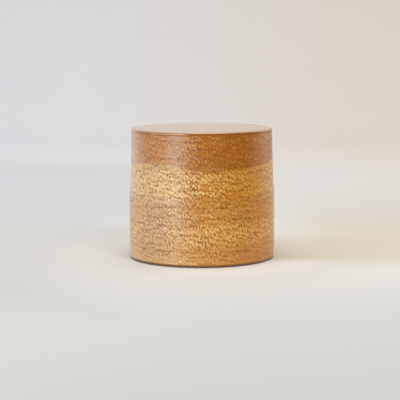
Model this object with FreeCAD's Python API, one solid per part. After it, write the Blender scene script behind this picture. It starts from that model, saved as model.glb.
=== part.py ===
"""Ceramic drum stool, built as a potter builds it.

A stoneware wall is thrown as two rings, a bellied lower ring and a plain collar, and the two are
joined with slip over a tongue. A rolled seat slab with a rounded rim closes the top, and a slab ring
with a wide opening is let into a rebate inside the foot. Soft coils are pressed into the inside
corners and over the inside of the wall joint. Rubber pads stick to the foot slab and lift the stool
off the floor.

Frame: millimetres, +Z up, origin on the floor at the middle of the stool.
"""

import FreeCAD, Part
import math
import os

from FreeCAD import Vector

# Heights, stacked from the floor up
pad_thickness = 3.0
belly_ring_height = 297.0     # lower ring of the wall, from its sole to the wall joint
collar_height = 95.0          # upper ring of the wall
seat_edge = 10.0              # edge of the seat slab, above the collar

# Wall, outside
collar_diameter = 437.6       # at the collar's mouth, under the seat
collar_flare = 2.3            # the collar stands out this much further at its foot
shoulder_step = 1.1           # the lower ring's shoulder stands out past the collar
shoulder_drop = 5.0           # height of the rounding on that shoulder
shoulder_land = 27.0          # straight stretch under the shoulder
belly_sweep = 92.0            # height over which the wall swells to the belly
belly_bulge = 4.8             # the belly stands out past the shoulder
belly_land = 66.0             # straight stretch at the widest place
foot_tuck = 2.3               # the foot draws in from the belly
foot_round = 6.0
seam_bevel = 1.2              # bevel each side of the seam under the seat's edge

# Wall, inside
wall_thickness = 11.0
tongue_height = 8.0           # tongue on the lower ring, inside the collar's foot
coil_margin = 5.0             # straight inside face past the end of each pressed coil

# Seat slab
seat_register = 5.0           # the slab's middle drops into the collar
rim_round = 5.0
plug_round = 1.5

# Foot slab
foot_thickness = 13.0
foot_rebate = 3.0             # depth of the rebate in the wall that takes the slab's edge
foot_slab_width = 48.0        # from the slab's outer edge to its opening
opening_round = 3.0

# Slip joints and pressed coils
slip_gap = 0.3                # radial room for slip where one piece is let into another
coil_leg = 12.0
coil_lip = 2.0
band_height = 30.0
band_bulge = 5.0

# Floor pads
pad_count = 6
pad_diameter = 25.0
pad_round = 0.8

collar_radius = collar_diameter / 2
collar_foot_radius = collar_radius + collar_flare
shoulder_radius = collar_foot_radius + shoulder_step
belly_radius = shoulder_radius + belly_bulge
foot_radius = belly_radius - foot_tuck

collar_bore = collar_radius - wall_thickness
belly_bore = belly_radius - wall_thickness
foot_bore = foot_radius - wall_thickness
tongue_radius = (collar_bore + collar_foot_radius) / 2
rebate_radius = foot_bore + foot_rebate
slab_radius = rebate_radius - slip_gap
opening_radius = slab_radius - foot_slab_width

sole = pad_thickness
foot_top = sole + foot_thickness
wall_joint = sole + belly_ring_height
tongue_top = wall_joint + tongue_height
seat_underside = wall_joint + collar_height
seat_plug_bottom = seat_underside - seat_register
seat_top = seat_underside + seat_edge

land_top = wall_joint - shoulder_drop
sweep_top = land_top - shoulder_land
belly_top = sweep_top - belly_sweep
belly_bottom = belly_top - belly_land
band_middle = wall_joint + tongue_height / 2


def point(radius, height):
    """A point of a half section, which lies in the XZ plane."""
    return Vector(radius, 0, height)


def outline(*corners):
    """Straight edges through a run of (radius, height) pairs."""
    return [Part.LineSegment(point(*start), point(*end)).toShape()
            for start, end in zip(corners, corners[1:])]


def arc(start, through, end):
    """A circular edge of a half section through three (radius, height) pairs."""
    return Part.Arc(point(*start), point(*through), point(*end)).toShape()


def rounding(side, flat):
    """A quarter round between an upright face and a level one, bulging outwards at the level end."""
    reach = math.sqrt(0.5)
    middle = (flat[0] + (side[0] - flat[0]) * reach, side[1] + (flat[1] - side[1]) * reach)
    return arc(side, middle, flat)


def upright_arc(crest, edge):
    """An arc that is upright at crest and ends at edge, found from its sagitta."""
    rise = edge[1] - crest[1]
    inset = crest[0] - edge[0]
    bend = (rise * rise + inset * inset) / (2 * inset)
    half = math.asin(rise / bend) / 2
    return arc(crest, (crest[0] - bend * (1 - math.cos(half)), crest[1] + bend * math.sin(half)), edge)


def sweep(top, bottom):
    """Two equal arcs that are upright at both ends and meet halfway, smoothly."""
    middle = ((top[0] + bottom[0]) / 2, (top[1] + bottom[1]) / 2)
    return [upright_arc(top, middle), upright_arc(bottom, middle)]


def turned(edges):
    """The solid that a closed half section sweeps about the stool's axis."""
    section = Part.Face(Part.Wire(Part.__sortEdges__(edges)))
    return section.revolve(Vector(0, 0, 0), Vector(0, 0, 1), 360)


def seat_slab():
    """Seat: a flat round slab with a rounded rim, whose middle drops into the collar's mouth."""
    plug_radius = collar_bore - slip_gap
    rim_side = (collar_radius, seat_top - rim_round)
    rim_flat = (collar_radius - rim_round, seat_top)
    plug_side = (plug_radius, seat_plug_bottom + plug_round)
    plug_flat = (plug_radius - plug_round, seat_plug_bottom)
    return turned([
        rounding(rim_side, rim_flat),
        *outline(rim_side, (collar_radius, seat_underside + seam_bevel),
                 (collar_radius - seam_bevel, seat_underside), (plug_radius, seat_underside), plug_side),
        rounding(plug_side, plug_flat),
        *outline(plug_flat, (0, seat_plug_bottom), (0, seat_top), rim_flat),
    ])


def collar_ring():
    """Upper ring of the wall: a slightly flared collar whose foot is cut back to fit over the tongue."""
    tongue_face = tongue_radius + slip_gap
    mouth = (collar_bore, seat_underside)
    return turned(outline(
        mouth, (collar_radius - seam_bevel, seat_underside),
        (collar_radius, seat_underside - seam_bevel), (collar_foot_radius, wall_joint),
        (tongue_face, wall_joint), (tongue_face, tongue_top), (collar_bore, tongue_top), mouth))


def belly_ring():
    """Lower ring of the wall: a bellied drum with a tongue for the collar and a rebated foot."""
    shoulder_edge = (collar_foot_radius, wall_joint)
    shoulder_side = (shoulder_radius, land_top)
    shoulder_middle = (shoulder_radius - shoulder_step * (1 - math.sqrt(0.75)),
                       wall_joint - shoulder_drop / 2)
    foot_side = (foot_radius, sole + foot_round)
    foot_flat = (foot_radius - foot_round, sole)
    inner_land = (collar_bore, band_middle - band_height / 2 - coil_margin)
    inner_foot = (foot_bore, foot_top + coil_leg + coil_margin)
    return turned([
        *outline((collar_bore, tongue_top), (tongue_radius, tongue_top),
                 (tongue_radius, wall_joint), shoulder_edge),
        arc(shoulder_edge, shoulder_middle, shoulder_side),
        *outline(shoulder_side, (shoulder_radius, sweep_top)),
        *sweep((shoulder_radius, sweep_top), (belly_radius, belly_top)),
        *outline((belly_radius, belly_top), (belly_radius, belly_bottom)),
        upright_arc((belly_radius, belly_bottom), foot_side),
        rounding(foot_side, foot_flat),
        *outline(foot_flat, (rebate_radius, sole), (rebate_radius, foot_top),
                 (foot_bore, foot_top), inner_foot),
        upright_arc((belly_bore, belly_bottom), inner_foot),
        *outline((belly_bore, belly_bottom), (belly_bore, belly_top)),
        *sweep(inner_land, (belly_bore, belly_top)),
        *outline(inner_land, (collar_bore, tongue_top)),
    ])


def foot_slab():
    """Foot: a slab ring with a wide rounded opening, let into the rebate inside the wall's foot."""
    mouth_radius = opening_radius + opening_round
    return turned([
        *outline((mouth_radius, foot_top), (slab_radius, foot_top), (slab_radius, sole),
                 (mouth_radius, sole)),
        rounding((opening_radius, sole + opening_round), (mouth_radius, sole)),
        *outline((opening_radius, sole + opening_round), (opening_radius, foot_top - opening_round)),
        rounding((opening_radius, foot_top - opening_round), (mouth_radius, foot_top)),
    ])


def corner_coil(bore, corner_height, way):
    """A coil pressed into an inside corner, hollowed by a finger. way is 1 up the wall, -1 down it."""
    def at(inset, climb):
        return bore - inset, corner_height + way * climb

    hollow = coil_leg - (coil_leg - coil_lip) * math.sqrt(0.5)
    return turned([
        *outline(at(coil_leg, coil_lip), at(coil_leg, 0), at(0, 0), at(0, coil_leg),
                 at(coil_lip, coil_leg)),
        arc(at(coil_lip, coil_leg), at(hollow, hollow), at(coil_leg, coil_lip)),
    ])


def joint_band():
    """A flattened coil pressed over the inside of the joint between the two wall rings."""
    low = (collar_bore, band_middle - band_height / 2)
    high = (collar_bore, band_middle + band_height / 2)
    return turned([*outline(low, high), arc(high, (collar_bore - band_bulge, band_middle), low)])


def floor_pad(number):
    """A stick-on rubber pad under the foot slab, at its place in the ring of pads."""
    pad = Part.makeCylinder(pad_diameter / 2, pad_thickness)
    sole_edge = [edge for edge in pad.Edges if edge.BoundBox.ZMax < pad_thickness / 2]
    pad = pad.makeFillet(pad_round, sole_edge)
    pitch_radius = (opening_radius + slab_radius) / 2
    angle = 2 * math.pi * (number - 0.5) / pad_count
    pad.translate(Vector(pitch_radius * math.cos(angle), pitch_radius * math.sin(angle), 0))
    return pad


def main():
    parts = {
        "seat_slab": seat_slab(),
        "collar_ring": collar_ring(),
        "belly_ring": belly_ring(),
        "foot_slab": foot_slab(),
        "seat_coil": corner_coil(collar_bore, seat_plug_bottom, -1),
        "joint_band": joint_band(),
        "foot_coil": corner_coil(foot_bore, foot_top, 1),
    }
    for number in range(1, pad_count + 1):
        parts[f"floor_pad_{number}"] = floor_pad(number)

    os.makedirs("parts", exist_ok=True)
    for name, shape in parts.items():
        shape.exportStep(f"parts/{name}.step")
        volume = shape.Volume / 1000
        print(f"{name}: valid {shape.isValid()}, {len(shape.Solids)} solid, {volume:.1f} cm3")


main()
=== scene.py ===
"""Ceramic drum stool: the looks of its glazed wall and seat, bare foot, pressed coils and pads.

The file is laid out as an add-on. Run as a script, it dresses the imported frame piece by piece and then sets
the stage. Lengths are metres, +Z is up, and every piece is in the frame's own axes.
"""

import math

import bpy
import numpy as np
from bpy.props import FloatProperty, FloatVectorProperty, IntProperty, PointerProperty
from mathutils import Matrix, Vector


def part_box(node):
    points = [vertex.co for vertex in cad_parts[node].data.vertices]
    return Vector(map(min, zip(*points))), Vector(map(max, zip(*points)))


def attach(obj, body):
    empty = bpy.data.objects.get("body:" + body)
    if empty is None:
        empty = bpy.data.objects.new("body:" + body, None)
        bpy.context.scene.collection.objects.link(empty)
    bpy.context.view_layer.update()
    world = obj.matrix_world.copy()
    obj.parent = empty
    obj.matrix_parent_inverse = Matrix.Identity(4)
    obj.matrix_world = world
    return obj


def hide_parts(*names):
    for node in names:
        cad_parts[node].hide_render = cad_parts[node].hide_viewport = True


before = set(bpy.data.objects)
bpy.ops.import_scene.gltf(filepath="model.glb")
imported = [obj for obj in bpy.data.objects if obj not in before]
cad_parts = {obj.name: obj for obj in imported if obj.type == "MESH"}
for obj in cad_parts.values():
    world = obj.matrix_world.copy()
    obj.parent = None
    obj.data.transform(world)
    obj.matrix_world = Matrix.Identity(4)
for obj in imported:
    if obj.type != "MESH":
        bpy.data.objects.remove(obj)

bl_info = {
    "name": "Ceramic Drum Stool",
    "version": (1, 0, 0),
    "blender": (4, 5, 0),
    "location": "View3D > Sidebar > Stool",
    "description": "Builds the glazed wall, seat, foot, coils and pads of a ceramic drum stool",
    "category": "Add Mesh",
}

TAU = 2 * math.pi
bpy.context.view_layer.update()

# Corners of the boxes that the frame gives
COLLAR_LOW, COLLAR_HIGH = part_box("collar_ring")
BELLY_LOW, BELLY_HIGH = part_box("belly_ring")
SEAT_LOW, SEAT_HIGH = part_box("seat_slab")
SLAB_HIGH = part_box("foot_slab")[1]
BAND_LOW, BAND_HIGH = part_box("joint_band")
SEAT_COIL_LOW, SEAT_COIL_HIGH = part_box("seat_coil")
FOOT_COIL_LOW, FOOT_COIL_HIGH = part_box("foot_coil")
PADS = sorted(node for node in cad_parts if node.startswith("floor_pad_"))

# Radii and heights of the stool
SEAT_RADIUS = SEAT_HIGH.x
COLLAR_FOOT_RADIUS = COLLAR_HIGH.x
COLLAR_BORE = SEAT_COIL_HIGH.x
TONGUE_RADIUS = (COLLAR_BORE + COLLAR_FOOT_RADIUS) / 2
WALL = SEAT_RADIUS - COLLAR_BORE
BELLY_RADIUS = BELLY_HIGH.x
FOOT_BORE = FOOT_COIL_HIGH.x
FOOT_RADIUS = FOOT_BORE + WALL
SOLE = BELLY_LOW.z
FOOT_TOP = SLAB_HIGH.z
JOINT = COLLAR_LOW.z
TONGUE_TOP = BELLY_HIGH.z
UNDERSIDE = COLLAR_HIGH.z
SEAT_TOP = SEAT_HIGH.z

# Small sizes inside the stool
SLIP_GAP = 0.0003        # room for slip where one piece is let into another
COIL_MARGIN = 0.005      # straight inside face past the end of a pressed coil
BAND_BULGE = 0.005       # how far the band over the joint stands out of the wall
PAD_ROUND = 0.0008
PAD_FLAT = 0.0035        # a loop of faces this far inside a pad's edge
WALL_COLUMNS = 640       # columns of faces round the wall
WALL_INSET = 0.00004     # the wall lies at least this far inside the solid

# Radius left open at the axis, where a fan of triangles closes a piece
SEAT_EYE = 0.004
PAD_EYE = 0.0005

# Slopes on which the looks change with the height: from where the change starts to where it ends
UPPER_BAND = (0.200, 0.235), (0.285, 0.300)
LOWER_BAND = (0.055, 0.085), (0.115, 0.140)
# Painted reflection of the floor in a pale band low on the wall
FLOOR_REFLECTION_BAND = (0.008, 0.012), (0.026, 0.034)
# Painted shade under the foot's rounding
FOOT_SHADE = (0.0065, 0.0105)
# Top of the painted shade low on the left
SHADE_PATCH_TOP = (0.17, 0.21)
# Height above which the painted sheen on the right edge lies
RIGHT_SHEEN_FOOT = (0.06, 0.12)
COLLAR_EDGE = (JOINT - 0.011, JOINT + 0.009)
MARKS_END = (UNDERSIDE - 0.005, UNDERSIDE - 0.0015)
# Where the seat glaze turns pale down the rim, as a painted highlight
RIM_HIGHLIGHT = (SEAT_TOP - 0.0045, SEAT_TOP - 0.002)
SOLE_EDGE = (SOLE + 0.0008, SOLE + 0.0016)
# Where the painted sheen on the right edge lies round the stool
RIGHT_SHEEN = (-0.085, -0.03), (0.06, 0.16)    # the same, in turns about the axis from +X

# Heights of the scored lines, and the length in metres and lean in degrees of every wave in the lumps
LINE_HEIGHTS = (0.021, 0.048, 0.0975, 0.123, 0.147, 0.181, 0.209, 0.232, 0.259, 0.281, 0.326, 0.379)
LINE_HALF_WIDTH = 0.0024
LUMP_WAVES = ((0.0100, 8), (0.0088, -22), (0.0124, 30), (0.0112, 50), (0.0096, -46), (0.0190, 78))


def metres(name, description, default):
    """A length that the panel shows."""
    return FloatProperty(name=name, description=description, default=default, unit="LENGTH")


def tint(name, description, default):
    """A colour that the panel shows, given as linear red, green and blue."""
    return FloatVectorProperty(
        name=name, description=description, default=default, subtype="COLOR", size=3, min=0, max=1)


class StoolShape(bpy.types.PropertyGroup):
    """Sizes of the turned shapes, as the pieces in the frame have them."""

    shoulder_step: metres(
        "Shoulder step", "How far the lower ring's shoulder stands out past the collar",
        0.0011)
    shoulder_drop: metres("Shoulder drop", "Height of the rounding on the shoulder", 0.005)
    shoulder_land: metres("Shoulder land", "Straight stretch under the shoulder", 0.027)
    belly_sweep: metres("Belly sweep", "Height over which the wall swells to the belly", 0.092)
    belly_land: metres("Belly land", "Straight stretch at the widest place", 0.066)
    foot_round: metres("Foot round", "Rounding at the bottom of the wall", 0.006)
    rebate: metres("Rebate", "Depth of the rebate that takes the foot slab", 0.003)
    seam_bevel: metres("Seam bevel", "Bevel each side of the seam under the seat's edge", 0.0012)
    rim_round: metres("Rim round", "Rounding of the seat's rim", 0.005)
    slab_width: metres("Foot slab width", "From the foot slab's outer edge to its opening", 0.048)
    slab_round: metres("Opening round", "Rounding of the foot slab's opening", 0.003)
    coil_lip: metres("Coil lip", "Thickness of a corner coil where it is smeared out", 0.002)
    wobble: metres("Wobble", "How far the thrown wall strays from a true circle", 0.0005)


class StoolMarks(bpy.types.PropertyGroup):
    """The pressed marks and scored lines in the wall."""

    count: IntProperty(
        name="Marks", description="Strokes in one row, all the way round", default=138)
    row_height: metres("Row height", "Height of one row of strokes", 0.0104)
    depth: metres("Mark depth", "How far the marks stand out of the wall", 0.0008)
    line_depth: metres("Line depth", "Depth of the scored lines between the bands of marks", 0.0006)
    foot_fade: metres("Foot fade", "Height above the floor where the marks have faded out", 0.007)


class StoolColours(bpy.types.PropertyGroup):
    """Colours of the glaze, the bare clay and the pads. Some glaze colours carry painted sheen and reflection.
    """

    amber: tint("Amber glaze", "Glaze of an even thickness on the belly", (0.63, 0.23, 0.006))
    collar: tint("Collar glaze", "The thicker, browner glaze on the collar", (0.43, 0.125, 0.003))
    # The seat glaze is painted pale as a painted reflection of the backdrop on the seat's top and a painted
    # highlight on its rim
    top: tint("Seat glaze", "Glaze of the seat and its rim", (0.71, 0.48, 0.35))
    pool: tint("Pooled glaze", "Glaze that has pooled in the hollows", (0.27, 0.09, 0.008))
    gold: tint(
        "Gold glaze", "Brighter glaze on the raised marks where it is still thick",
        (0.80, 0.40, 0.055))
    cream: tint("Thin glaze", "Glaze that breaks thin and pale over the raised marks", (0.88, 0.60, 0.25))
    # Painted sheen and shade: a greyer, duller colour laid over the left side of the wall
    painted_left_sheen: tint("Ash veil", "Dry, greyer bloom over the glaze on one side", (0.58, 0.41, 0.25))
    clay: tint("Bare clay", "Fired stoneware without glaze", (0.42, 0.27, 0.165))
    speck: tint("Iron specks", "Iron specks and toasted patches in the clay", (0.11, 0.05, 0.028))
    rubber: tint("Pad rubber", "Rubber of the floor pads", (0.035, 0.033, 0.031))


class StoolStage(bpy.types.PropertyGroup):
    """Camera, lamps, floor and backdrop, with light and shade painted on the floor and backdrop."""

    camera_distance: metres("Camera distance", "Level distance from the stool's axis to the camera", 4.281)
    camera_height: metres("Camera height", "Height of the camera above the floor", 0.712)
    camera_aside: metres("Camera offset", "How far the camera stands to the side", -0.00615)
    camera_pitch: FloatProperty(
        name="Camera pitch", description="How far the camera looks down",
        default=math.radians(7.114), unit="ROTATION")
    camera_roll: FloatProperty(
        name="Camera roll", description="Roll of the camera about its own axis",
        default=math.radians(-0.138), unit="ROTATION")
    lens: FloatProperty(
        name="Lens", description="Focal length in millimetres on a 36 mm wide frame", default=124.1)
    window_radiance: FloatProperty(
        name="Window light", description="Radiance of the long soft light on the left", default=4.5)
    pane_radiance: FloatProperty(
        name="Pane light", description="Extra radiance of the near end of the long light", default=6.0)
    left_radiance: FloatProperty(
        name="Left light", description="Radiance of the far end of the light on the left", default=1.25)
    fill_radiance: FloatProperty(
        name="Fill light", description="Radiance of the large soft light high in front", default=3.8)
    ceiling_radiance: FloatProperty(
        name="Ceiling light", description="Radiance of the large soft light overhead", default=1.1)
    front_radiance: FloatProperty(
        name="Front light", description="Radiance of the small light high on the right", default=11.0)
    backdrop_radiance: FloatProperty(
        name="Backdrop light", description="Radiance of the light on the backdrop", default=2.65)
    side_radiance: FloatProperty(
        name="Side light", description="Radiance of the pale wall on the right", default=1.4)
    room: tint("Room", "Light from the rest of the room", (0.62, 0.62, 0.63))
    shade: tint("Far floor", "Colour of the floor and wall far in front", (0.07, 0.068, 0.065))
    floor: tint("Floor", "Colour of the floor round the stool", (0.84, 0.83, 0.79))
    # Painted light on the floor: in front of the foot and far on the left
    painted_floor_light: tint("Floor at the foot", "Colour of the floor close to the foot", (0.98, 0.96, 0.91))
    # Painted shadow: the warmer, darker floor in the stool's shadow on the right
    shadowed_floor: tint("Warm floor", "Colour of the floor behind the stool on the right", (0.79, 0.72, 0.59))
    # Painted shadow and amber bounce light on the floor just right of the foot
    spill: tint(
        "Amber spill", "Colour of the floor right of the foot, under amber light",
        (0.755, 0.69, 0.585))
    # Painted shade of the floor falling off in front and on the left
    shaded_floor: tint("Near floor", "Colour of the floor in front and on the left", (0.69, 0.69, 0.665))
    # Painted light: the backdrop is tinted cool on the left and warm on the right
    cool_lit_backdrop: tint("Backdrop, left", "Colour of the backdrop on the left", (0.84, 0.845, 0.875))
    warm_lit_backdrop: tint("Backdrop, right", "Colour of the backdrop on the right", (0.85, 0.80, 0.72))


class Field:
    """A number that varies over a surface. An expression on fields adds Math nodes to their material."""

    def __init__(self, tree, socket):
        self.tree = tree
        self.socket = socket

    def __add__(self, other):
        return calculate("ADD", self, other)

    def __sub__(self, other):
        return calculate("SUBTRACT", self, other)

    def __rsub__(self, other):
        return calculate("SUBTRACT", other, self)

    def __mul__(self, other):
        return calculate("MULTIPLY", self, other)

    def __truediv__(self, other):
        return calculate("DIVIDE", self, other)

    __radd__ = __add__
    __rmul__ = __mul__


def plug(tree, socket, value):
    """Links a field or an output to a socket, or sets the socket to a plain value."""
    if isinstance(value, Field):
        value = value.socket
    if isinstance(value, bpy.types.NodeSocket):
        tree.links.new(value, socket)
    else:
        socket.default_value = value


def calculate(operation, *terms, clamped=False):
    """One Math node on fields and numbers."""
    tree = next(term.tree for term in terms if isinstance(term, Field))
    node = tree.nodes.new("ShaderNodeMath")
    node.operation = operation
    node.use_clamp = clamped
    for socket, term in zip(node.inputs, terms):
        plug(tree, socket, term)
    return Field(tree, node.outputs[0])


def sine(angle):
    """Sine of a field, or of a numpy array."""
    return calculate("SINE", angle) if isinstance(angle, Field) else np.sin(angle)


def whole(value):
    """The largest whole number that isn't above a field or an array."""
    return calculate("FLOOR", value) if isinstance(value, Field) else np.floor(value)


def held(value):
    """A field or an array held between 0 and 1."""
    return calculate("ADD", value, 0.0, clamped=True) if isinstance(value, Field) else np.clip(value, 0, 1)


def eased(value, low, high):
    """0 below low, 1 above high, and the smooth cubic 3tt - 2ttt between them."""
    t = held((value - low) / (high - low))
    return t * t * (3 - 2 * t)


def between(value, rise, fall):
    """0 below the slope called rise, 1 above it, and 0 again above the slope called fall."""
    return eased(value, *rise) * (1 - eased(value, *fall))


def facing(turn, place, low, high):
    """0 to 1 round a place, in turns from +X, as the cosine of the angle to it goes from low to high."""
    return eased(sine(TAU * (turn + (0.25 - place))), low, high)


class Finish:
    """A material that is put together from nodes."""

    def __init__(self, name):
        self.material = bpy.data.materials.new(name)
        self.material.use_nodes = True
        self.tree = self.material.node_tree
        self.tree.nodes.clear()
        self.place = self.node("ShaderNodeTexCoord").outputs["Object"]
        axes = self.node("ShaderNodeSeparateXYZ", sockets={0: self.place}).outputs
        self.x, self.y, self.z = (Field(self.tree, axis) for axis in axes)

    def radius(self):
        """Distance from the stool's axis."""
        return calculate("SQRT", self.x * self.x + self.y * self.y)

    def turn(self):
        """Place about the stool's axis, in turns from +X."""
        return calculate("ARCTAN2", self.y, self.x) / TAU

    def node(self, kind, settings=None, sockets=None):
        """Any node of a type: its settings are set first, then its sockets get their values or links."""
        node = self.tree.nodes.new(kind)
        for name, value in (settings or {}).items():
            setattr(node, name, value)
        for key, value in (sockets or {}).items():
            plug(self.tree, node.inputs[key], value)
        return node

    def mix(self, share, first, second):
        """Colour that goes from first to second as share goes from 0 to 1."""
        sockets = {0: share, 6: shade(first), 7: shade(second)}
        return self.node("ShaderNodeMix", {"data_type": "RGBA"}, sockets).outputs[2]

    def noise(self, scale, detail=2.0, roughness=0.5, stretch=(1, 1, 1)):
        """Noise on the piece's own coordinates, about 0.5. stretch squeezes it along each axis."""
        place = self.node("ShaderNodeVectorMath", {"operation": "MULTIPLY"}, {0: self.place, 1: stretch})
        sockets = {"Vector": place.outputs[0], "Scale": scale, "Detail": detail, "Roughness": roughness}
        return Field(self.tree, self.node("ShaderNodeTexNoise", sockets=sockets).outputs[0])

    def cells(self, scale):
        """Distance to the nearest of many scattered points, in the size of one cell."""
        sockets = {"Vector": self.place, "Scale": scale}
        return Field(self.tree, self.node("ShaderNodeTexVoronoi", sockets=sockets).outputs["Distance"])

    def bumped(self, height, distance, normal=None):
        """Normal of the surface with height, a field from 0 to 1, standing out by distance."""
        sockets = {"Height": height, "Distance": distance, "Strength": 1.0}
        if normal is not None:
            sockets["Normal"] = normal
        return self.node("ShaderNodeBump", sockets=sockets).outputs[0]

    def surface(self, sockets):
        """Ends the material in one shader with these socket values and links."""
        shader = self.node("ShaderNodeBsdfPrincipled", sockets=sockets)
        self.node("ShaderNodeOutputMaterial", sockets={0: shader.outputs[0]})
        return self.material


def shade(colour):
    """A colour socket's value: a link as it is, and three numbers with an alpha of 1."""
    return colour if isinstance(colour, bpy.types.NodeSocket) else (*colour, 1.0)


def chance(cell, row, around, step, seed):
    """A number from 0 to 1 for each cell of each row: the fraction of a long sine. It repeats every turn."""
    swing = sine(cell * (TAU * step / around) + row * 2.73 + seed) * 61.7
    return swing - whole(swing)


def strokes(turn, height, around, row_height, seed):
    """Pressed strokes, 1 on their ridge and 0 between them.

    The wall is cut into rows that wander, and each row into cells round the wall. A cell holds one upright
    stroke whose place, lean, bend and size come from chance. Its section is 1 minus the square of the
    distance from its bent middle line, and it fades with the square of the height towards its ends.
    """
    sway = sine(TAU * 17 * turn + 95 * height + seed) + sine(TAU * 43 * turn - 310 * height + 2 * seed)
    rise = sine(TAU * 19 * turn - 180 * height + 3 * seed) + sine(TAU * 37 * turn + 120 * height + seed)
    rows = height / row_height + 0.25 * rise
    row = whole(rows)
    columns = turn * around + 0.37 * row + 0.22 * sway
    cell = whole(columns)
    lean = chance(cell, row, around, 37, seed) - 0.5
    bend = chance(cell, row, around, 23, seed + 1.3) - 0.5
    size = chance(cell, row, around, 47, seed + 2.9)
    shift = chance(cell, row, around, 31, seed + 4.1) - 0.5
    up = rows - row - 0.5 - 0.35 * shift
    middle = 0.3 * shift + 1.3 * lean * up + 1.6 * bend * (4 * up * up - 0.3)
    aside = (columns - cell - 0.5 - middle) / (0.24 + 0.2 * size)
    along = up / (0.3 + 0.24 * size)
    return held(1 - aside * aside) * held(1.6 * (1 - along * along)) * held(0.1 + 2.2 * size)


def lumps(turn, height):
    """Small rounded lumps, about -2 to 2.

    They are the sum of sine waves of 9 to 19 mm. Each has its own lean, and slower waves bend it.
    """
    sway = sine(TAU * 23 * turn + 150 * height) + 0.8 * sine(TAU * 41 * turn - 260 * height)
    rise = sine(TAU * 31 * turn - 210 * height) + 0.8 * sine(TAU * 53 * turn + 130 * height)
    total = 0
    for number, (length, lean) in enumerate(LUMP_WAVES):
        around = round(TAU * BELLY_RADIUS / length * math.cos(math.radians(lean)))
        up = TAU / length * math.sin(math.radians(lean))
        bent = sway if number % 2 else rise
        total = total + sine(TAU * around * turn + up * height + 1.7 * number * number + bent)
    return total / 1.73


def streaks(turn, height):
    """Level streaks of a few millimetres, about -1.5 to 1.5, that swing and part."""
    bend = sine(TAU * 11 * turn + 40 * height) + 0.7 * sine(TAU * 27 * turn - 75 * height + 1)
    first = sine(TAU * 13 * turn + TAU / 0.0155 * height + 1.3 * bend)
    second = sine(TAU / 0.027 * height - TAU * 17 * turn - 1.5 * bend + 2)
    third = sine(TAU * 29 * turn + TAU / 0.0118 * height + 1.6 * bend + 4)
    return (first + second + 0.8 * third) / 1.62


def grain(turn, height, marks):
    """Lumps and strokes together, about -1 in the hollows to 1.5 on the tops."""
    pressed = strokes(turn, height, marks.count, marks.row_height, 1.1)
    return 0.55 * lumps(turn, height) + 1.25 * (pressed - 0.33)


def scored(turn, height):
    """Level lines scored between the bands of marks, 1 on the line. They wander, and fade in and out."""
    total = 0
    for number, place in enumerate(LINE_HEIGHTS):
        drift = 0.0012 * sine(TAU * 2 * turn + 1.9 * number) + 0.0008 * sine(TAU * 7 * turn + 2.7 * number)
        ripple = 0.0006 * sine(TAU * 23 * turn + number)
        aside = (height - place - drift - ripple) / LINE_HALF_WIDTH
        shown = 0.5 + 0.5 * sine(TAU * (1 + number % 3) * (turn + 0.28) + TAU / 4)
        shown = shown + 0.5 * sine(TAU * 9 * turn + 4.1 * number)
        total = total + held(1 - aside * aside) * eased(shown, 0.1, 0.7)
    return held(total)


def bands(turn, height):
    """How far a place is in the upper band of clear marks, in the lower, and on the paler sides, 0 to 1."""
    level = height + 0.004 * sine(TAU * 3 * turn + 1) + 0.003 * sine(TAU * 8 * turn + 2)
    side = 0.5 + 0.5 * sine(2 * TAU * (turn + 0.36) + TAU / 4)
    return between(level, *UPPER_BAND), between(level, *LOWER_BAND), side


def strength(turn, height):
    """How clearly the marks were pressed, from 0 to 1: most in the two bands, and in patches everywhere."""
    upper, lower, side = bands(turn, height)
    drift = sine(TAU * 3 * turn + 30 * height) + 0.8 * sine(TAU * 7 * turn - 55 * height + 1.2)
    patch = 0.6 * sine(TAU * 11 * turn + TAU / 0.06 * height + 1.5 * drift)
    patch = patch + 0.4 * sine(TAU / 0.034 * height - TAU * 5 * turn + 1.2 * drift + 2)
    clear = held(0.6 + 0.35 * patch + lower * (0.35 - 0.3 * side) + upper * (0.1 + 0.2 * side))
    return clear * (0.65 + 0.35 * eased(height, 0.025, 0.065))


def marked(height, marks):
    """How deep the marks are at a height, from 0 to 1: they fade out at the foot and under the seat."""
    return between(height, (marks.foot_fade, marks.foot_fade + 0.006), MARKS_END)


def wandering(turn, height, shape):
    """How far the thrown clay strays inwards from a true circle: slow waves up and round, never outwards."""
    waves = np.sin(TAU * 2 * turn + 5 * height) + 0.6 * np.sin(TAU * 3 * turn - 17 * height + 2)
    waves = waves + 0.3 * np.sin(TAU * 7 * turn + 41 * height)
    return -shape.wobble * (1 + waves / 1.9) / 2 - WALL_INSET


def wall_heights(shape):
    """Tops of the shoulder's land, of the sweep and of the belly's land, and the lower end of that land."""
    land_top = JOINT - shape.shoulder_drop
    sweep_top = land_top - shape.shoulder_land
    belly_top = sweep_top - shape.belly_sweep
    return land_top, sweep_top, belly_top, belly_top - shape.belly_land


def swollen(height, top, bottom):
    """0 above top, 1 below bottom, and two equal parabolas that meet halfway between them."""
    t = np.clip((top - height) / (top - bottom), 0, 1)
    return np.where(t < 0.5, 2 * t * t, 1 - 2 * (1 - t) ** 2)


def wall_radius(height, shape):
    """Outer radius of the lower ring at each height.

    At the joint a quarter ellipse comes out to the shoulder, which is upright. Two equal parabolas swell it to
    the belly, and below the belly the radius falls with the square of the depth to the foot.
    """
    land_top, sweep_top, belly_top, belly_low = wall_heights(shape)
    shoulder = COLLAR_FOOT_RADIUS + shape.shoulder_step
    over = np.clip((height - land_top) / shape.shoulder_drop, 0, 1)
    rounding = COLLAR_FOOT_RADIUS + shape.shoulder_step * np.sqrt(1 - over * over)
    swell = swollen(height, sweep_top, belly_top)
    depth = np.clip((belly_low - height) / (belly_low - SOLE - shape.foot_round), 0, 1)
    radius = shoulder + (BELLY_RADIUS - shoulder) * swell - (BELLY_RADIUS - FOOT_RADIUS) * depth * depth
    return np.where(height > land_top, rounding, radius)


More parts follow.
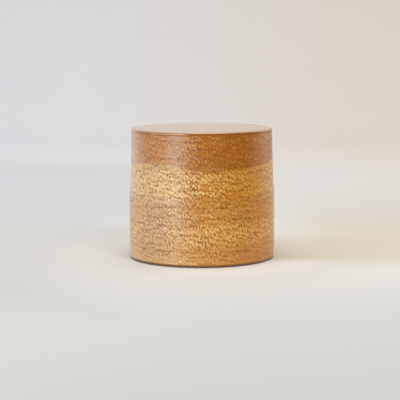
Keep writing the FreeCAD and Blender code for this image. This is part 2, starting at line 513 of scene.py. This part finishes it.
def bore_radius(height, shape):
    """Inner radius of the lower ring: straight past the coils, and the wall's thickness inside the belly."""
    belly_top, belly_low = wall_heights(shape)[2:]
    inner_top = BAND_LOW.z - COIL_MARGIN
    inner_low = FOOT_COIL_HIGH.z + COIL_MARGIN
    belly_bore = BELLY_RADIUS - WALL
    swell = swollen(height, inner_top, belly_top)
    depth = np.clip((belly_low - height) / (belly_low - inner_low), 0, 1)
    return COLLAR_BORE + (belly_bore - COLLAR_BORE) * swell - (belly_bore - FOOT_BORE) * depth * depth


def straight(start, end, steps):
    """Points along a line of a half section, without the last one."""
    return np.linspace(start, end, steps, endpoint=False)


def quarter(start, end, steps, upright_first):
    """Points along a quarter ellipse between an upright face and a level one, without the last one."""
    angle = np.linspace(0, TAU / 4, steps, endpoint=False)
    slow, fast = 1 - np.cos(angle), np.sin(angle)
    share_r, share_z = (slow, fast) if upright_first else (fast, slow)
    return np.stack([start[0] + (end[0] - start[0]) * share_r, start[1] + (end[1] - start[1]) * share_z], 1)


def piece_from_grid(name, points, finish, node, ring):
    """A closed mesh from a grid of points whose first axis goes round the axis and second along the section.

    A ring's section closes on itself. Any other starts and ends close to its own axis, where one point closes
    each end with a fan. The mesh gets a map that lays the turn along one side and the section's length along
    the other, and sharp edges where the section turns a corner.
    """
    round_count, section_count = points.shape[:2]
    column = np.arange(round_count)[:, None]
    beside = (column + 1) % round_count
    row = np.arange(section_count if ring else section_count - 1)[None, :]
    above = (row + 1) % section_count
    quads = np.stack([column * section_count + row, beside * section_count + row,
                      beside * section_count + above, column * section_count + above], -1).reshape(-1, 4)
    vertices = points.reshape(-1, 3)
    steps = np.linalg.norm(np.diff(points[0], axis=0, append=points[:1, 0]), axis=1)
    length = np.concatenate([[0], np.cumsum(steps)])
    length = length / length[-1] if ring else length / length[-2]
    u = (column + 0 * row)[..., None] + np.array([0, 1, 1, 0])
    v = (row + 0 * column)[..., None] + np.array([0, 0, 1, 1])
    uv = np.stack([u.reshape(-1) / round_count, length[v.reshape(-1)]], -1)
    corners, sizes = quads.reshape(-1), np.full(len(quads), 4)
    if not ring:
        vertices = np.concatenate([vertices, points[:, (0, -1)].mean(axis=0)])
        first, last = len(vertices) - 2, len(vertices) - 1
        around = np.arange(round_count)
        here, there = around * section_count, (around + 1) % round_count * section_count
        bottom = np.stack([np.full(round_count, first), there, here], -1)
        top = np.stack([np.full(round_count, last), here + above[0, -1], there + above[0, -1]], -1)
        corners = np.concatenate([corners, bottom.reshape(-1), top.reshape(-1)])
        sizes = np.concatenate([sizes, np.full(2 * round_count, 3)])
        middle = (around + 0.5) / round_count
        fan = np.stack([middle, (around + 1) / round_count, around / round_count], -1).reshape(-1)
        side = np.zeros(3 * round_count)
        uv = np.concatenate([uv, np.stack([fan, side], -1), np.stack([fan, side + 1], -1)])
    mesh = bpy.data.meshes.new(name)
    mesh.vertices.add(len(vertices))
    mesh.vertices.foreach_set("co", vertices.astype(np.float32).ravel())
    mesh.loops.add(len(corners))
    mesh.loops.foreach_set("vertex_index", corners.astype(np.int32))
    mesh.polygons.add(len(sizes))
    mesh.polygons.foreach_set("loop_start", (np.cumsum(sizes) - sizes).astype(np.int32))
    mesh.polygons.foreach_set("use_smooth", np.ones(len(sizes), bool))
    mesh.update(calc_edges=True)
    mesh.uv_layers.new(name="OFBake").uv.foreach_set("vector", uv.astype(np.float32).ravel())
    mesh.set_sharp_from_angle(angle=math.radians(40))
    if mesh.validate():
        raise RuntimeError(f"{name} came out with broken faces")
    piece = bpy.data.objects.new(name, mesh)
    mesh.materials.append(finish)
    bpy.context.scene.collection.objects.link(piece)
    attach(piece, "root")
    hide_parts(node)
    return piece


def swept(section, columns, relief=None):
    """Points of a half section carried round the axis. relief gives what to add to the radius."""
    turn = np.arange(columns)[:, None] / columns
    radius, height = section[None, :, 0], section[None, :, 1]
    if relief is not None:
        radius = radius + relief(turn, height)
    angle = TAU * turn
    return np.stack([radius * np.cos(angle), radius * np.sin(angle), height + 0 * angle], -1)


def polar(points):
    """Radius and angle of every point about the stool's axis."""
    return np.hypot(points[..., 0], points[..., 1]), np.arctan2(points[..., 1], points[..., 0])


def wall_glaze(finish, colours, marks):
    """Colour of the glaze on the wall, and the height of its marks from 0 to 1.

    It is pale where it breaks thin over the marks and dark where it pools between them. The collar's glaze is
    thicker and browner down to a ragged edge. The belly is paler in the two bands of clear marks. Painted
    light
    lies on it as well: painted sheen makes the right edge paler, painted shade darkens it low on the left, a
    greyer veil of painted sheen and shade lies over its left side, a pale band at the foot is a painted
    reflection of the floor, and painted shade darkens the foot's rounding.
    """
    turn, height = finish.turn(), finish.z
    cloud = finish.noise(11, 3)
    flow = finish.noise(46, 2, 0.5, (1, 1, 0.3))
    depth = marked(height, marks)
    clear = strength(turn, height) * depth
    upper, lower, side = bands(turn, height)
    lump = grain(turn, height, marks) + 2.2 * (finish.noise(330, 2, 0.6) - 0.5)
    streak = streaks(turn, height)
    line = scored(turn, height) * depth
    ragged = height + 0.002 * lump - 0.010 * sine(TAU * 3 * (turn + 0.4633)) + 0.02 * (cloud - 0.5)
    collar = eased(ragged, *COLLAR_EDGE)
    flank = facing(turn, -0.36, 0.95, 1.0)
    # Painted shade low on the left front of the belly: less pale and more pooled colour there
    patch = flank * (1 - eased(height, *SHADE_PATCH_TOP))
    # Painted shade under the foot's rounding: pooled colour and no paleness at the bottom edge of the wall
    edge = 1 - eased(height, *FOOT_SHADE)
    # Painted sheen: paler glaze on the right edge of the belly
    right = between(turn, *RIGHT_SHEEN) * eased(height, *RIGHT_SHEEN_FOOT)

    share = 0.06 + 0.17 * side + 0.30 * upper * side + lower * (0.40 - 0.38 * side)
    share = share * (1 - collar) + 0.09 * side * collar
    # The second term is painted sheen on the right edge of the upper band
    share = share + 0.25 * upper * facing(turn, -0.03, 0.9, 0.99) + 0.3 * (cloud - 0.5)
    share = share + 0.75 * right * (1 - collar)
    pale = held(share * (1.0 + 2.2 * clear * lump + 0.8 * streak) - 0.3 * line)
    pale = held(pale - 0.22 * patch)
    # Painted reflection of the floor in a pale band low on the wall, taken away again by the painted shade at
    # the foot
    pale = held(pale + 0.3 * between(height, *FLOOR_REFLECTION_BAND) * side - edge)
    dark = clear * (-0.2 - 0.7 * lump) - 0.25 * streak + 0.5 * line + 0.5 * (flow - 0.5)
    dark = held(held(dark + 0.22 * patch) + 0.9 * edge)
    bright = held(0.15 + clear * (0.7 * lump + 0.3 * streak))
    thick = held(collar + 0.35 * (1 - upper - lower))
    # Painted sheen and shade over the left side of the wall, less on the collar
    veil = facing(turn, -0.41, 0.45, 1.0) * (0.55 + 0.8 * (cloud - 0.5))
    veil = held(veil * (1 - collar * (0.35 + 0.5 * flank)))

    body = finish.mix(thick, finish.mix(bright, colours.amber, colours.gold),
                      finish.mix(bright, colours.collar, colours.amber))
    body = finish.mix(veil, body, colours.painted_left_sheen)
    colour = finish.mix(dark, body, colours.pool)
    thin = finish.mix(held(0.1 + 1.1 * side) * (1 - 0.7 * collar), colours.gold, colours.cream)
    return finish.mix(pale, colour, thin), held(0.45 + 0.45 * lump) * (0.3 + 0.7 * clear)


def seat_glaze(finish, colours, fine):
    """Colour of the glaze on the seat: brown down its edge, cloudy on top, and paler on top as a painted
    reflection of the backdrop that reaches down the rim as a painted highlight.
    """
    cloud = finish.noise(11, 3)
    flow = finish.noise(46, 2, 0.5, (1, 1, 0.3))
    # Painted highlight and reflection: the pale top glaze reaches down the upper rim
    top = eased(finish.z, *RIM_HIGHLIGHT)
    body = finish.mix(top, colours.collar, colours.top)
    colour = finish.mix(held(0.25 + 0.4 * (flow - 0.5)), body, colours.pool)
    pale = held(0.1 + 0.5 * (cloud - 0.5) + 0.4 * (fine - 0.5)) * top
    return finish.mix(pale, colour, colours.cream)


def glaze(name, colours, marks=None):
    """Amber glaze with iron specks, bare at the sole. With marks it is the wall's, bare inside as well."""
    finish = Finish(name)
    fine = finish.noise(150, 4, 0.6)
    if marks:
        colour, raised = wall_glaze(finish, colours, marks)
        inside = BELLY_RADIUS - 0.0092 - 0.004 * eased(finish.z, JOINT - 0.01, JOINT)
        glazed = eased(finish.radius() - inside, 0.0, 0.0006)
        rough = 0.18 + 0.06 * fine
        normal = finish.bumped(raised, 0.0005)
    else:
        colour = seat_glaze(finish, colours, fine)
        glazed = 1
        rough = 0.09 + 0.1 * fine
        normal = None
    specks = 1 - eased(finish.cells(210), 0.06, 0.13)
    colour = finish.mix(held(specks * eased(finish.noise(35), 0.52, 0.62) * 0.7), colour, colours.speck)
    glazed = glazed * eased(finish.z + 0.0012 * fine, *SOLE_EDGE)
    colour = finish.mix(glazed, bare_clay(finish, colours), colour)
    normal = finish.bumped(fine + 0.15 * finish.noise(620, 2), 0.00005, normal)
    return finish.surface({
        "Base Color": colour, "Roughness": rough * glazed + 0.85 * (1 - glazed), "IOR": 1.7,
        "Anisotropic": 0.85 if marks else 0.0, "Anisotropic Rotation": 0.25, "Normal": normal})


def bare_clay(finish, colours):
    """Colour of fired clay: buff with toasted clouds, fine grog and iron specks."""
    cloud = finish.noise(14, 4, 0.55)
    grit = finish.noise(900, 3, 0.6)
    colour = finish.mix(held(1.5 * (cloud - 0.38)), colours.clay, colours.speck)
    colour = finish.mix(held(0.7 * (cloud - 0.3)) * 0.9, colours.clay, colour)
    colour = finish.mix(held(grit - 0.35) * 0.55, colour, [min(1, 1.5 * part) for part in colours.clay])
    specks = 1 - eased(finish.cells(260), 0.08, 0.17)
    return finish.mix(specks * eased(grit, 0.45, 0.6) * 0.85, colour, colours.speck)


def stoneware(name, colours):
    """Unglazed stoneware, dry and gritty."""
    finish = Finish(name)
    grit = finish.noise(900, 3, 0.6)
    smear = finish.noise(70, 3, 0.5, (1, 1, 2.5))
    normal = finish.bumped(0.6 * grit + smear, 0.0004)
    return finish.surface({
        "Base Color": bare_clay(finish, colours), "Roughness": 0.72 + 0.25 * grit, "IOR": 1.45,
        "Normal": normal})


def pad_rubber(name, colours):
    """Moulded rubber: dark, dull, with a fine grain and a little dust."""
    finish = Finish(name)
    grain = finish.noise(1500, 2)
    dust = finish.noise(120, 3)
    colour = finish.mix(held(dust - 0.42) * 0.5, colours.rubber, (0.16, 0.15, 0.14))
    return finish.surface({
        "Base Color": colour, "Roughness": 0.55 + 0.3 * dust, "IOR": 1.5,
        "Normal": finish.bumped(grain, 0.00008)})


def material(name, make, *settings):
    """The material of that name, made the first time that a piece asks for it."""
    return bpy.data.materials.get(name) or make(name, *settings)


class STOOL_OT_seat(bpy.types.Operator):
    """Build the glazed seat slab with its rounded rim"""

    bl_idname = "stool.seat"
    bl_label = "Seat slab"

    def execute(self, context):
        shape = context.scene.stool_shape
        plug_radius = COLLAR_BORE - SLIP_GAP
        edge = (SEAT_RADIUS, UNDERSIDE + shape.seam_bevel)
        rim = (SEAT_RADIUS, SEAT_TOP - shape.rim_round)
        flat = (SEAT_RADIUS - shape.rim_round, SEAT_TOP)
        section = np.concatenate([
            straight((SEAT_EYE, SEAT_LOW.z), (plug_radius, SEAT_LOW.z), 14),
            straight((plug_radius, SEAT_LOW.z), (plug_radius, UNDERSIDE), 2),
            straight((plug_radius, UNDERSIDE), (SEAT_RADIUS - shape.seam_bevel, UNDERSIDE), 3),
            quarter((SEAT_RADIUS - shape.seam_bevel, UNDERSIDE), edge, 4, False),
            straight(edge, rim, 3),
            quarter(rim, flat, 9, True),
            straight(flat, (SEAT_EYE, SEAT_TOP), 60),
            [(SEAT_EYE, SEAT_TOP)],
        ])
        points = swept(section, 512, lambda turn, height: wandering(turn, height, shape))
        radius, angle = polar(points)
        top = (points[..., 2] > SEAT_TOP - 0.0005) * np.clip((SEAT_RADIUS - radius) / 0.02, 0, 1)
        waves = np.sin(38 * radius + 2 * angle)
        waves = waves + np.sin(61 * points[..., 0] + 1) * np.sin(47 * points[..., 1])
        points[..., 2] -= 0.00012 * top * (1 + waves / 2)
        finish = material("amber_glaze_smooth", glaze, context.scene.stool_colours)
        piece_from_grid("seat_slab_glazed", points, finish, "seat_slab", False)
        return {"FINISHED"}


def smeared(turn, height, shape):
    """How far the shoulder is smeared in at the joint, where its quarter ellipse becomes a smooth step.

    The step is as long as the rounding on one side of the stool, and three times as long on the other.
    """
    length = shape.shoulder_drop * (2 - np.cos(TAU * (turn + 0.03)))
    drop = JOINT - height
    over = np.clip(1 - drop / shape.shoulder_drop, 0, 1)
    crisp = np.where(drop < 0, 0, np.sqrt(1 - over * over))
    return shape.shoulder_step * np.maximum(crisp - eased(drop / length, 0, 1), 0)


def relief(turn, height, shape, marks):
    """Outer surface of the wall, inwards from its true radius.

    It has the wobble of thrown clay, hollows between the marks, scored lines and the smeared joint.
    """
    depth = marked(height, marks)
    clear = 0.3 + 0.7 * strength(turn, height)
    raised = held(0.45 + 0.45 * grain(turn, height, marks))
    hollow = marks.depth * clear * (1 - raised) + marks.line_depth * scored(turn, height)
    return wandering(turn, height, shape) - depth * hollow - smeared(turn, height, shape)


def throwing_rings(turn, height, shape):
    """Inner surface of the wall: a shallow spiral of finger rings with a pitch of 9 mm, of uneven depth."""
    pitch, depth, run_out = 0.009, 0.0005, 0.02
    spiral = np.sin(TAU * (height / pitch + turn) + 0.8 * np.sin(TAU * 2 * turn))
    uneven = 0.6 + 0.4 * np.sin(90 * height + 3 * np.sin(TAU * turn))
    low = np.clip((height - FOOT_COIL_HIGH.z) / run_out, 0, 1)
    high = np.clip((UNDERSIDE - run_out - height) / run_out, 0, 1)
    return depth * spiral * uneven * (low * high) + wandering(turn, height, shape)


def wall_piece(name, node, outside, inside, scene):
    """A ring of the wall from two half sections: the marked outside and the inside with its finger rings."""
    shape, marks = scene.stool_shape, scene.stool_marks
    points = np.concatenate([
        swept(outside, WALL_COLUMNS, lambda turn, height: relief(turn, height, shape, marks)),
        swept(inside, WALL_COLUMNS, lambda turn, height: throwing_rings(turn, height, shape))], 1)
    finish = material("amber_glaze_marked", glaze, scene.stool_colours, marks)
    piece_from_grid(name, points, finish, node, True)


class STOOL_OT_collar(bpy.types.Operator):
    """Build the collar, the upper ring of the wall"""

    bl_idname = "stool.collar"
    bl_label = "Collar ring"

    def execute(self, context):
        shape = context.scene.stool_shape
        tongue = TONGUE_RADIUS + SLIP_GAP
        bevel = (SEAT_RADIUS, UNDERSIDE - shape.seam_bevel)
        lip = (SEAT_RADIUS - shape.seam_bevel, UNDERSIDE)
        outside = np.concatenate([
            straight((COLLAR_FOOT_RADIUS, JOINT), bevel, 44), quarter(bevel, lip, 4, True), [lip]])
        inside = np.concatenate([
            straight((COLLAR_BORE, UNDERSIDE), (COLLAR_BORE, TONGUE_TOP), 28),
            straight((COLLAR_BORE, TONGUE_TOP), (tongue, TONGUE_TOP), 3),
            straight((tongue, TONGUE_TOP), (tongue, JOINT), 3),
            [(tongue, JOINT)]])
        wall_piece("collar_ring_glazed", "collar_ring", outside, inside, context.scene)
        return {"FINISHED"}


class STOOL_OT_belly(bpy.types.Operator):
    """Build the bellied lower ring of the wall"""

    bl_idname = "stool.belly"
    bl_label = "Belly ring"

    def execute(self, context):
        shape = context.scene.stool_shape
        sole_edge = (FOOT_RADIUS - shape.foot_round, SOLE)
        side = (FOOT_RADIUS, SOLE + shape.foot_round)
        land_top = wall_heights(shape)[0]
        heights = np.concatenate([
            np.linspace(side[1], land_top, 120, endpoint=False),
            land_top + shape.shoulder_drop * np.sin(np.linspace(0, TAU / 4, 5))])
        outside = np.concatenate([
            quarter(sole_edge, side, 4, False), np.stack([wall_radius(heights, shape), heights], 1)])
        descent = np.linspace(TONGUE_TOP, FOOT_TOP, 14)
        rebate = FOOT_BORE + shape.rebate
        inside = np.concatenate([
            straight((TONGUE_RADIUS, JOINT), (TONGUE_RADIUS, TONGUE_TOP), 2), [(TONGUE_RADIUS, TONGUE_TOP)],
            np.stack([bore_radius(descent, shape), descent], 1),
            [(rebate, FOOT_TOP), (rebate, SOLE)]])
        wall_piece("belly_ring_glazed", "belly_ring", outside, inside, context.scene)
        return {"FINISHED"}


class STOOL_OT_foot(bpy.types.Operator):
    """Build the bare slab ring that closes the foot"""

    bl_idname = "stool.foot"
    bl_label = "Foot slab"

    def execute(self, context):
        shape = context.scene.stool_shape
        outer = SLAB_HIGH.x
        opening = outer - shape.slab_width
        mouth = opening + shape.slab_round
        top_turn, low_turn = FOOT_TOP - shape.slab_round, SOLE + shape.slab_round
        section = np.concatenate([
            straight((outer, SOLE), (outer, FOOT_TOP), 5),
            straight((outer, FOOT_TOP), (mouth, FOOT_TOP), 18),
            quarter((mouth, FOOT_TOP), (opening, top_turn), 6, False),
            straight((opening, top_turn), (opening, low_turn), 5),
            quarter((opening, low_turn), (mouth, SOLE), 6, True),
            straight((mouth, SOLE), (outer, SOLE), 18)])
        points = swept(section, 360)
        radius, angle = polar(points)
        uneven = np.sin(3 * angle) + 0.7 * np.sin(8 * angle + 1) + 0.4 * np.sin(19 * angle + 260 * radius)
        near_opening = np.clip((outer - 0.008 - radius) / 0.03, 0, 1)
        drawn = 0.0006 * near_opening * (1 + uneven / 2.1)
        points[..., :2] *= (1 + drawn / radius)[..., None]
        finish = material("bare_stoneware", stoneware, context.scene.stool_colours)
        piece_from_grid("foot_slab_bare", points, finish, "foot_slab", True)
        return {"FINISHED"}


def pressed_coil(name, node, outer, section, colours):
    """A coil with thumb marks: its free face sinks by up to 1.6 mm about every 24 mm, unevenly."""
    points = swept(section, 540)
    radius, angle = polar(points)
    proud = np.clip((outer - radius) / (outer - section[:, 0].min()), 0, 1)
    thumbs = np.abs(np.sin(27 * angle + 0.5 * np.sin(5 * angle) + 9 * points[..., 2])) ** 1.5
    uneven = 0.7 + 0.3 * np.sin(4 * angle + 1) * np.sin(11 * angle)
    sunk = 0.0016 * proud * thumbs * uneven
    points[..., :2] *= (1 + sunk / radius)[..., None]
    finish = material("bare_stoneware", stoneware, colours)
    piece_from_grid(name, points, finish, node, True)


class STOOL_OT_coils(bpy.types.Operator):
    """Build the coils pressed into the corners and over the wall joint"""

    bl_idname = "stool.coils"
    bl_label = "Pressed coils"

    def execute(self, context):
        shape, colours = context.scene.stool_shape, context.scene.stool_colours
        corners = (("seat_coil", SEAT_COIL_LOW, SEAT_COIL_HIGH, -1),
                   ("foot_coil", FOOT_COIL_LOW, FOOT_COIL_HIGH, 1))
        for node, low, high, way in corners:
            leg, lip = high.z - low.z, shape.coil_lip
            corner = low.z if way > 0 else high.z
            angle = np.linspace(0, TAU / 4, 11)
            hollow_r = high.x - leg + (leg - lip) * np.sin(angle)
            hollow_z = leg - (leg - lip) * np.cos(angle)
            inner = np.stack([hollow_r, corner + way * hollow_z], 1)
            wall = [(high.x, corner + way * leg), (high.x, corner), (high.x - leg, corner)]
            section = np.concatenate([inner, wall])
            section = section[::-1] if way > 0 else section
            pressed_coil(f"{node}_pressed", node, high.x, section, colours)
        across = np.linspace(-1, 1, 15)
        bulge = BAND_HIGH.x - BAND_BULGE * (1 - across * across)
        middle, half = (BAND_LOW.z + BAND_HIGH.z) / 2, (BAND_HIGH.z - BAND_LOW.z) / 2
        section = np.stack([bulge, middle - half * across], 1)
        pressed_coil("joint_band_pressed", "joint_band", BAND_HIGH.x, section, colours)
        return {"FINISHED"}


class STOOL_OT_pads(bpy.types.Operator):
    """Build the rubber pads under the foot"""

    bl_idname = "stool.pads"
    bl_label = "Floor pads"

    def execute(self, context):
        finish = material("pad_rubber", pad_rubber, context.scene.stool_colours)
        for node in PADS:
            low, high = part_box(node)
            radius, top = (high.x - low.x) / 2, high.z
            section = np.concatenate([
                straight((PAD_EYE, 0), (radius - PAD_FLAT, 0), 4),
                straight((radius - PAD_FLAT, 0), (radius - PAD_ROUND, 0), 2),
                quarter((radius - PAD_ROUND, 0), (radius, PAD_ROUND), 5, False),
                straight((radius, PAD_ROUND), (radius, top), 2),
                straight((radius, top), (PAD_EYE, top), 3),
                [(PAD_EYE, top)]])
            points = swept(section, 48)
            points += np.array([(low.x + high.x) / 2, (low.y + high.y) / 2, 0])
            piece_from_grid(f"{node}_moulded", points, finish, node, False)
        return {"FINISHED"}


def area_lamp(name, place, aim, size, radiance, colour=(1, 1, 1)):
    """A soft rectangular lamp at place that faces aim, with the radiance of its face given."""
    data = bpy.data.lights.new(name, "AREA")
    data.shape = "RECTANGLE"
    data.size, data.size_y = size
    data.energy = radiance * math.pi * size[0] * size[1]
    data.color = colour
    lamp = bpy.data.objects.new(name, data)
    lamp.location = place
    lamp.rotation_mode = "QUATERNION"
    lamp.rotation_quaternion = (Vector(aim) - Vector(place)).to_track_quat("-Z", "Y")
    lamp.visible_camera = False
    bpy.context.scene.collection.objects.link(lamp)


def round_room(stage):
    """Floor and wall in one sheet: a level disc, a quarter circle and an upright wall, carried all round."""
    level, bend, top = 4.2, 1.4, 4.6
    angle = np.linspace(0, TAU / 4, 17)
    section = np.concatenate([
        [(0.02, 0.0), (1.0, 0.0), (2.5, 0.0)],
        np.stack([level + bend * np.sin(angle), bend * (1 - np.cos(angle))], 1),
        [(level + bend, top)]])
    points = swept(section, 96)
    columns, rows = points.shape[:2]
    here = np.arange(columns)[:, None] * rows + np.arange(rows - 1)[None, :]
    there = (np.arange(columns)[:, None] + 1) % columns * rows + np.arange(rows - 1)[None, :]
    faces = np.stack([here, here + 1, there + 1, there], -1).reshape(-1, 4).tolist()
    faces.append((np.arange(columns) * rows).tolist())
    mesh = bpy.data.meshes.new("round_room")
    mesh.from_pydata(points.reshape(-1, 3).tolist(), [], faces)
    mesh.polygons.foreach_set("use_smooth", np.ones(len(faces), bool))
    sheet = bpy.data.objects.new("round_room", mesh)
    bpy.context.scene.collection.objects.link(sheet)
    finish = Finish("room_paint")
    x, y, far = finish.x, finish.y, finish.radius()
    # Painted shade: the floor darkens in front and on the left of the stool, and more far in front, as light
    # falls off
    near = held(1 - eased(y, -1.1, -0.2) + 0.75 * (1 - eased(x, -0.6, -0.1)))
    colour = finish.mix(near, stage.floor, stage.shaded_floor)
    colour = finish.mix(1 - eased(y, -1.9, -0.9), colour, [0.88 * part for part in stage.shaded_floor])
    # Painted light: the floor far on the left is paler, brightening its reflection in the low left of the wall
    colour = finish.mix(1 - eased(x, -1.3, -0.85), colour, stage.painted_floor_light)
    # Painted light: a pool of paler floor in front of the foot and to its right, where the glaze throws light
    # down
    foot_light = (1 - eased(far, 0.27, 0.45)) * eased(x, -0.2, -0.02) * (1 - eased(y, -0.15, 0.0))
    colour = finish.mix(foot_light, colour, stage.painted_floor_light)
    # Painted shadow: the floor behind and right of the stool is darker and warmer, as in the stool's shadow
    right_shadow = eased(x, 0.2, 0.5) * eased(y, -0.25, 0.0)
    colour = finish.mix(right_shadow, colour, stage.shadowed_floor)
    # Painted shadow and amber bounce light on the floor just right of the foot
    spill = between(x, (0.1, 0.22), (0.4, 0.8)) * between(y, (-0.12, -0.02), (0.25, 0.5))
    colour = finish.mix(spill, colour, stage.spill)
    # Painted light: the backdrop is tinted cool on the left and warm on the right, as by the light on each
    # side
    wall = finish.mix(eased(x, -1.2, 1.2), stage.cool_lit_backdrop, stage.warm_lit_backdrop)
    colour = finish.mix(eased(y, 0.3, 2.4), colour, wall)
    # Painted shade: the floor and backdrop behind the stool are darker, most on the left
    behind = between(y, (0.4, 1.2), (2.4, 3.6)) * (1 - 0.6 * eased(x, -0.3, 0.3))
    colour = finish.mix(behind, colour, [0.87 * part for part in stage.cool_lit_backdrop])
    front = 1 - eased(y - 0.3 * far, -0.2, 0.3)
    colour = finish.mix(front * eased(far, 1.78, 1.95), colour, stage.shade)
    mesh.materials.append(finish.surface({"Base Color": colour, "Roughness": 0.9, "IOR": 1.3}))


class STOOL_OT_stage(bpy.types.Operator):
    """Set the floor, the backdrop, the lamps and the camera"""

    bl_idname = "stool.stage"
    bl_label = "Stage"

    def execute(self, context):
        scene, stage = context.scene, context.scene.stool_stage
        round_room(stage)
        area_lamp("window", (-2.1, -1.53, 0.18), (0, 0, 0.18), (3.5, 0.3), stage.window_radiance)
        area_lamp("pane", (-1.6, -1.9, 0.46), (0, 0, 0.46), (1.1, 0.34), stage.pane_radiance)
        area_lamp("left", (-2.27, 1.26, 0.2), (0, 0, 0.2), (3.1, 0.34), stage.left_radiance)
        area_lamp("fill", (0.5, -3.4, 2.8), (0, 0, 0.1), (2.6, 1.8), stage.fill_radiance)
        area_lamp("side", (3.4, 1.2, 0.8), (0, 0, 0.4), (3.2, 1.3), stage.side_radiance, (1, 0.86, 0.64))
        area_lamp("front", (1.2, -2.1, 2.3), (0, 0, 0.2), (0.55, 0.45), stage.front_radiance)
        area_lamp("ceiling", (-0.5, 0.2, 3.2), (-0.3, 0.1, 0), (2.6, 2.6), stage.ceiling_radiance)
        area_lamp("backdrop", (0, 2.2, 3.6), (0, 5.0, 0.8), (4.5, 1.2), stage.backdrop_radiance)
        world = bpy.data.worlds.new("room")
        world.use_nodes = True
        world.node_tree.nodes["Background"].inputs[0].default_value = (*stage.room, 1)
        scene.world = world
        data = bpy.data.cameras.new("camera")
        data.lens = stage.lens
        data.clip_end = 50
        camera = bpy.data.objects.new("camera", data)
        place = Matrix.Translation((stage.camera_aside, -stage.camera_distance, stage.camera_height))
        tilt = Matrix.Rotation(TAU / 4 - stage.camera_pitch, 4, "X")
        camera.matrix_world = place @ tilt @ Matrix.Rotation(stage.camera_roll, 4, "Z")
        scene.collection.objects.link(camera)
        scene.camera = camera
        scene.view_settings.view_transform = "Standard"
        return {"FINISHED"}


STEPS = (STOOL_OT_seat, STOOL_OT_collar, STOOL_OT_belly, STOOL_OT_foot, STOOL_OT_coils, STOOL_OT_pads,
         STOOL_OT_stage)


class STOOL_PT_pieces(bpy.types.Panel):
    """Lists the stool's pieces and their sizes"""

    bl_idname = "STOOL_PT_pieces"
    bl_label = "Ceramic drum stool"
    bl_space_type = "VIEW_3D"
    bl_region_type = "UI"
    bl_category = "Stool"

    def draw(self, context):
        for name in GROUPS:
            box = self.layout.box()
            settings = getattr(context.scene, name)
            for setting in settings.bl_rna.properties:
                if setting.identifier not in ("rna_type", "name"):
                    box.prop(settings, setting.identifier)
        for step in STEPS:
            self.layout.operator(step.bl_idname)


GROUPS = {"stool_shape": StoolShape, "stool_marks": StoolMarks, "stool_colours": StoolColours,
          "stool_stage": StoolStage}
CLASSES = (*GROUPS.values(), *STEPS, STOOL_PT_pieces)


def register():
    for each in CLASSES:
        bpy.utils.register_class(each)
    for name, group in GROUPS.items():
        setattr(bpy.types.Scene, name, PointerProperty(type=group))


def unregister():
    for name in GROUPS:
        delattr(bpy.types.Scene, name)
    for each in reversed(CLASSES):
        bpy.utils.unregister_class(each)


def main():
    register()
    for step in STEPS:
        group, name = step.bl_idname.split(".")
        getattr(getattr(bpy.ops, group), name)()


if __name__ == "__main__":
    main()
